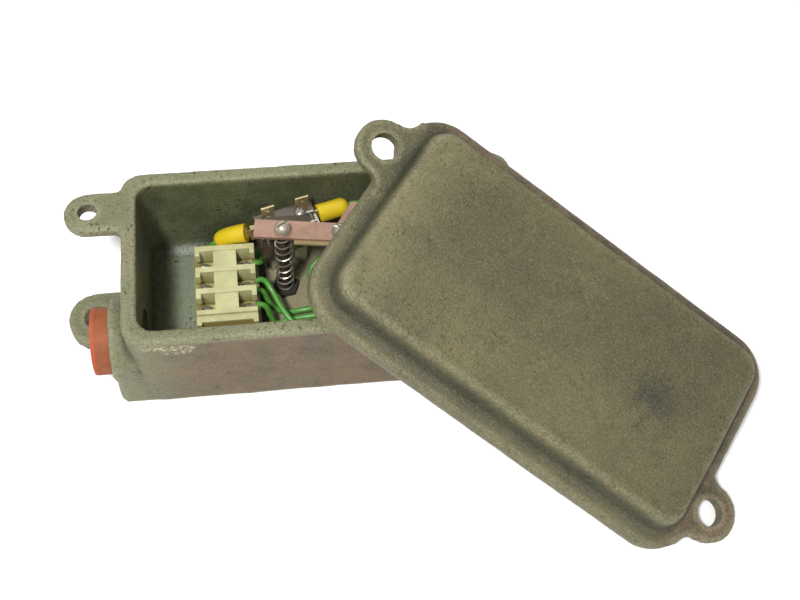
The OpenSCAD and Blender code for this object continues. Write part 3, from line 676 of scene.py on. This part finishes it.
# A painted highlight shines on the fillet at the back of the floor.
fillet_highlight = inner * zone(across, 0.0355, 0.0018, 0.0012) * zone(along, -0.062, 0.009, 0.004)
fillet_highlight = fillet_highlight * (1 - height.above(0.0085, 0.011)) * grain.above(0.36, 0.50)
base = cast.mix(fillet_highlight * 0.9, base, tone(214, 222, 206))
chip_line = zone(height, 0.0525, 0.0014, 0.0006) * zone(along, -0.071, 0.012, 0.002)
chip_spot = zone(height, 0.0500, 0.0030, 0.0012) * zone(along, -0.067, 0.006, 0.002)
front_side = 1 - across.above(-0.034, -0.030)
flakes = cast.noise(at, 380, 5, 0.75, 1.0).above(0.48, 0.55)
chips = (chip_line + chip_spot).low(1.0) * outer * front_side * flakes
base = cast.mix(chips * 0.8, base, tone(190, 184, 146))
thread_edge = (TAP_R + 0.15 * MM, TAP_R + 0.45 * MM)
tapped_hole_shade = (round_zone(along, across, -BOLT_X, BOLT_Y, *thread_edge)
           + round_zone(along, across, BOLT_X, -BOLT_Y, *thread_edge))
# The tapped holes are painted dark as shade, with each thread turn painted in light and shade.
thread_turn_shading = (height * (2 * math.pi / LID_THREAD_PITCH)).sine()
base = cast.mix(tapped_hole_shade, base, cast.mix(thread_turn_shading.above(-0.2, 0.8), tone(24, 20, 12), tone(110, 100, 74)))
close_up(cast, base, clouds, grain, pit * (1 - outer * 0.6), relief, 0.8)
cast.put_on(cast_box)

# %% Lid finish
lid, at, clouds, grain, pit, relief, base = cast_finish(
    "cast_metal_lid", "level_place", tone(100, 94, 60), tone(80, 75, 46))
along, across, height = lid.axis(at, "X"), lid.axis(at, "Y"), lid.axis(at, "Z")
blotch = lid.noise(at, 75, 5, 0.7, 0.7)
smear = lid.noise(at, 28, 5, 0.72, 1.5)
dull_end = along.above(0.0, 0.09)
base = lid.mix(dull_end * 0.45, base, tone(70, 60, 38))
pale_end = (1 - along.above(-0.080, -0.066)) * height.above(0.0145, 0.0165)
base = lid.mix(pale_end * 0.8, base, tone(115, 109, 75))
# The panel under the moulded text is darker, from dirt and from painted shade standing in for the shade of its
# letters.
text_panel_dirt_and_shade = zone(along, 0.006, 0.078, 0.012) * zone(across - along * 0.06, 0.014, 0.024, 0.006)
base = lid.mix(text_panel_dirt_and_shade * smear.above(0.28, 0.54) * 0.6, base, tone(66, 61, 38))
base = lid.mix(blotch.above(0.52, 0.68) * 0.55, base, tone(68, 65, 42))
thumb = zone(along, 0.052, 0.009, 0.007) * zone(across, -0.004, 0.010, 0.008) * blotch.above(0.36, 0.56)
base = lid.mix(thumb * 0.9, base, tone(38, 37, 27))
below = 1 - height.above(0.0100, 0.0142)
ledge = 1 - height.above(0.0045, 0.0062)
base = lid.mix(below * 0.9, base, lid.mix(clouds.above(0.4, 0.6), tone(36, 41, 24), tone(54, 56, 35)))
base = lid.mix(ledge * 0.8, base, lid.mix(clouds.above(0.36, 0.64), tone(82, 77, 51), tone(108, 101, 70)))
far_side = (across.above(0.040, 0.047) + along.above(0.086, 0.092)).low(1.0)
base = lid.mix(far_side * below * 0.7, base, lid.mix(blotch.above(0.4, 0.6), tone(52, 40, 28), tone(104, 82, 62)))
# Painted shade darkens the hollow at the neck of the left lug.
lug_neck_shade = zone(along, -0.0935, 0.004, 0.004) * zone(across, 0.023, 0.006, 0.005)
base = lid.mix(lug_neck_shade * 0.7, base, tone(38, 38, 25))
close_up(lid, base, clouds, grain, pit, relief, 0.25)
lid.put_on(cast_lid)

# %% Tell the frame what the castings stand for
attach(cast_box, "box")
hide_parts("box_body")
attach(cast_lid, "lid")
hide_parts("cover")


# %% [markdown]
# ## Finishes of the small parts
# The parts from here on keep their engineered mesh, except the sleeves and the wires. Metal parts get a
# little uneven roughness and faint tarnish, plastics get their colour with a slow cloud in it, and nothing
# is perfectly clean.

# %% Metals
def metal(name, colour, tarnish, roughness, amount=0.35, scale=260, metallic=0.9):
    finish = Finish(name, Metallic=metallic, Roughness=roughness)
    where = finish.place()
    stain = finish.noise(where, scale, 4, 0.65)
    finish.set("Base Color", finish.mix(stain.above(0.42, 0.68) * amount, colour, tarnish))
    finish.set("Roughness", stain * 0.25 + (roughness - 0.1))
    finish.bump(finish.noise(where, scale * 5, 2), 0.0001, 0.25)
    return finish


metal("zinc_steel", tone(190, 188, 180), tone(120, 110, 92), 0.34).put_on(
    *(nodes[n] for n in ("base_screws", "pivot_pin", "bar_nut", "mass_screws", "switch_standoffs", "switch_screws",
                         "block_screws", "lever_bracket", "lever_pin")))
metal("stained_blade", tone(116, 108, 92), tone(82, 72, 56), 0.4).put_on(nodes["switch_lever"])
metal("bright_screw", tone(186, 184, 174), tone(110, 98, 78), 0.3).put_on(nodes["bar_screw"], nodes["terminal_screws"])

# %% The adjusting screw: a bright head on a dark oiled thread
thread = Finish("threaded_steel", Metallic=0.5)
rise = thread.axis(thread.place(), "Z")
head = rise.above(0.0545, 0.055)
groove = (rise * (2 * math.pi / ADJUSTING_THREAD_PITCH)).sine()
thread.set("Base Color", thread.mix(head, tone(66, 50, 38), tone(172, 160, 144)))
thread.set("Roughness", 0.62 - head * 0.30)
thread.bump(groove * (1 - head), 0.3 * MM, 0.6)
thread.put_on(nodes["adjusting_screw"])
metal("spring_wire", tone(200, 198, 184), tone(120, 112, 92), 0.28).put_on(nodes["adjusting_spring"])
metal("pale_brass", tone(214, 198, 150), tone(150, 128, 84), 0.36).put_on(
    nodes["switch_tabs"], nodes["terminal_plates"])
metal("dull_plate", tone(160, 152, 122), tone(112, 104, 78), 0.5, metallic=0.4).put_on(
    nodes["base_plate"], nodes["pivot_bracket"])
metal("dark_iron", tone(70, 66, 60), tone(48, 42, 36), 0.55, metallic=0.6).put_on(
    nodes["magnet_core"], nodes["seismic_mass"], nodes["screw_bushing"])
metal("worn_bronze", tone(160, 128, 110), tone(122, 94, 78), 0.42, 0.5, 120, 0.4).put_on(nodes["trip_bar"])


# %% Plastics, sleeves and wires
def plastic(name, colour, shade, roughness, amount=0.5, scale=90, coat=0.0):
    finish = Finish(name, Roughness=roughness, Coat_Weight=coat)
    where = finish.place()
    cloud = finish.noise(where, scale, 4, 0.6)
    finish.set("Base Color", finish.mix(cloud.above(0.38, 0.7) * amount, colour, shade))
    finish.bump(finish.noise(where, 700, 3), 0.0002, 0.2)
    return finish


# The cream pad under the bar is darkened with painted shade.
plastic("shaded_cream_board", tone(146, 132, 94), tone(114, 98, 66), 0.6).put_on(nodes["insulator_pad"])
plastic("smoked_phenolic", tone(84, 70, 54), tone(52, 40, 30), 0.3, coat=0.3).put_on(nodes["switch_body"])
plastic("cloudy_cap", tone(74, 62, 48), tone(48, 40, 30), 0.22, coat=0.25).put_on(nodes["switch_shield"])
plastic("yellow_sleeve", tone(206, 180, 30), tone(190, 156, 20), 0.35, coat=0.2).put_on(*sleeves)
plastic("green_cover", tone(84, 146, 58), tone(50, 110, 40), 0.38, 0.5, 60, 0.2).put_on(*leads)
plastic("dark_red_button", tone(130, 40, 30), tone(90, 24, 20), 0.35).put_on(nodes["switch_plunger"])
plastic("black_bobbin", tone(34, 33, 32), tone(20, 20, 20), 0.4).put_on(nodes["coil_bobbin"], nodes["cover_gasket"])

# %% The plug: red on its outer edge, with painted shade browning its side and darkening its inside
plug = Finish("red_plug_painted_shade", Roughness=0.72)
at = plug.place()
along = plug.axis(at, "X")
cloud = plug.noise(at, 80, 5, 0.65)
# The side of the flange is a painted shaded copy of the red edge.
shaded_side_tone = plug.mix(cloud.above(0.38, 0.62), tone(118, 62, 30), tone(140, 74, 36))
lit_edge_tone = plug.mix(cloud.above(0.40, 0.66), tone(154, 62, 34), tone(170, 78, 44))
colour = plug.mix((1 - along.above(-0.1043, -0.1036)).low(1.0), shaded_side_tone, lit_edge_tone)
# Painted shade darkens the bore inside the plug.
plug.set("Base Color", plug.mix(along.above(-0.0970, -0.0965), colour, tone(34, 18, 12)))
plug.bump(plug.noise(at, 600, 3), 0.2 * MM, 0.3)
plug.put_on(nodes["conduit_plug"])

# %% The terminal block: milky ivory on top, with painted shade low down in it, and amber at its front foot
block_skin = Finish("milky_ivory", Roughness=0.4, Subsurface_Weight=0.25, Subsurface_Scale=0.002)
at = block_skin.place()
cloud = block_skin.noise(at, 120, 4, 0.6)
height = block_skin.axis(at, "Z")
shaded_low_tone = block_skin.mix(cloud.above(0.38, 0.64), tone(112, 104, 52), tone(140, 138, 84))
lit_top_tone = block_skin.mix(cloud.above(0.36, 0.66), tone(168, 164, 116), tone(186, 184, 138))
# Painted shade darkens the block below its top.
colour = block_skin.mix(height.above(0.0215, 0.0285), shaded_low_tone, lit_top_tone)
front = (1 - block_skin.axis(at, "Y").above(-0.0204, -0.0200)) * (1 - height.above(0.0296, 0.0304))
block_skin.set("Base Color", block_skin.mix(front * 0.8, colour, tone(150, 124, 52)))
block_skin.bump(block_skin.noise(at, 700, 3), 0.2 * MM, 0.2)
block_skin.put_on(nodes["terminal_block"])

# %% The coil: fine rings of enamelled wire
COIL_RIDGES = 9000.0  # radians per metre, so a ridge every 0.7 mm
winding = Finish("enamelled_coil", Metallic=0.5, Roughness=0.35)
coil_height = winding.axis(winding.place(), "Z")
ridge = (coil_height * COIL_RIDGES).sine()
# Each turn of the winding is painted lighter on its crest and darker between, as light and shade.
winding.set("Base Color", winding.mix(ridge * 0.5 + 0.5, tone(120, 60, 30), tone(170, 96, 52)))
winding.bump(ridge, 0.0002, 0.5)
winding.put_on(nodes["reset_coil"])

# %% [markdown]
# ## Floor, light and camera
# The object lies on a plain pale floor under soft light. The camera looks down steeply from the front.

# %% Floor and lights
bpy.ops.object.select_all(action="DESELECT")
bpy.ops.mesh.primitive_plane_add(size=6, location=(0, 0, 0))
floor = bpy.context.object
floor.name = "floor"
Finish("pale_floor", Base_Color=(0.9, 0.9, 0.89, 1), Roughness=0.8).put_on(floor)


def area_light(name, place, aim, size, power):
    light = bpy.data.lights.new(name, "AREA")
    light.size, light.energy = size, power
    obj = bpy.data.objects.new(name, light)
    bpy.context.collection.objects.link(obj)
    obj.location = place
    obj.rotation_euler = (Vector(aim) - Vector(place)).to_track_quat("-Z", "Y").to_euler()
    return obj


area_light("key_light", (-0.32, -0.50, 1.05), (0.02, 0, 0.02), 0.14, 15)
area_light("fill_light", (0.5, -0.9, 0.8), (0, 0, 0), 0.8, 3)
area_light("back_light", (-0.1, 0.9, 0.9), (0, 0, 0), 0.8, 3)
world = bpy.data.worlds.new("soft_sky")
world.use_nodes = True
world.node_tree.nodes["Background"].inputs["Color"].default_value = (1, 1, 1, 1)
world.node_tree.nodes["Background"].inputs["Strength"].default_value = 0.5
bpy.context.scene.world = world
bpy.context.scene.view_settings.view_transform = "Standard"

# %% Camera
CAMERA_AT = (-0.02485, -0.29894, 0.50285)
azimuth, elevation, roll = (math.radians(a) for a in (-11.612, 58.597, 5.601))
back = Vector((math.sin(azimuth) * math.cos(elevation), -math.cos(azimuth) * math.cos(elevation),
               math.sin(elevation)))
level = (-back).cross(Vector((0, 0, 1))).normalized()
down = (-back).cross(level)
right = level * math.cos(roll) - down * math.sin(roll)
up = -(level * math.sin(roll) + down * math.cos(roll))
lens = bpy.data.cameras.new("camera")
lens.lens, lens.sensor_width, lens.clip_start = 54, 36, 0.01
camera = bpy.data.objects.new("camera", lens)
bpy.context.collection.objects.link(camera)
camera.matrix_world = Matrix.Translation(CAMERA_AT) @ Matrix((right, up, back)).transposed().to_4x4()
bpy.context.scene.camera = camera
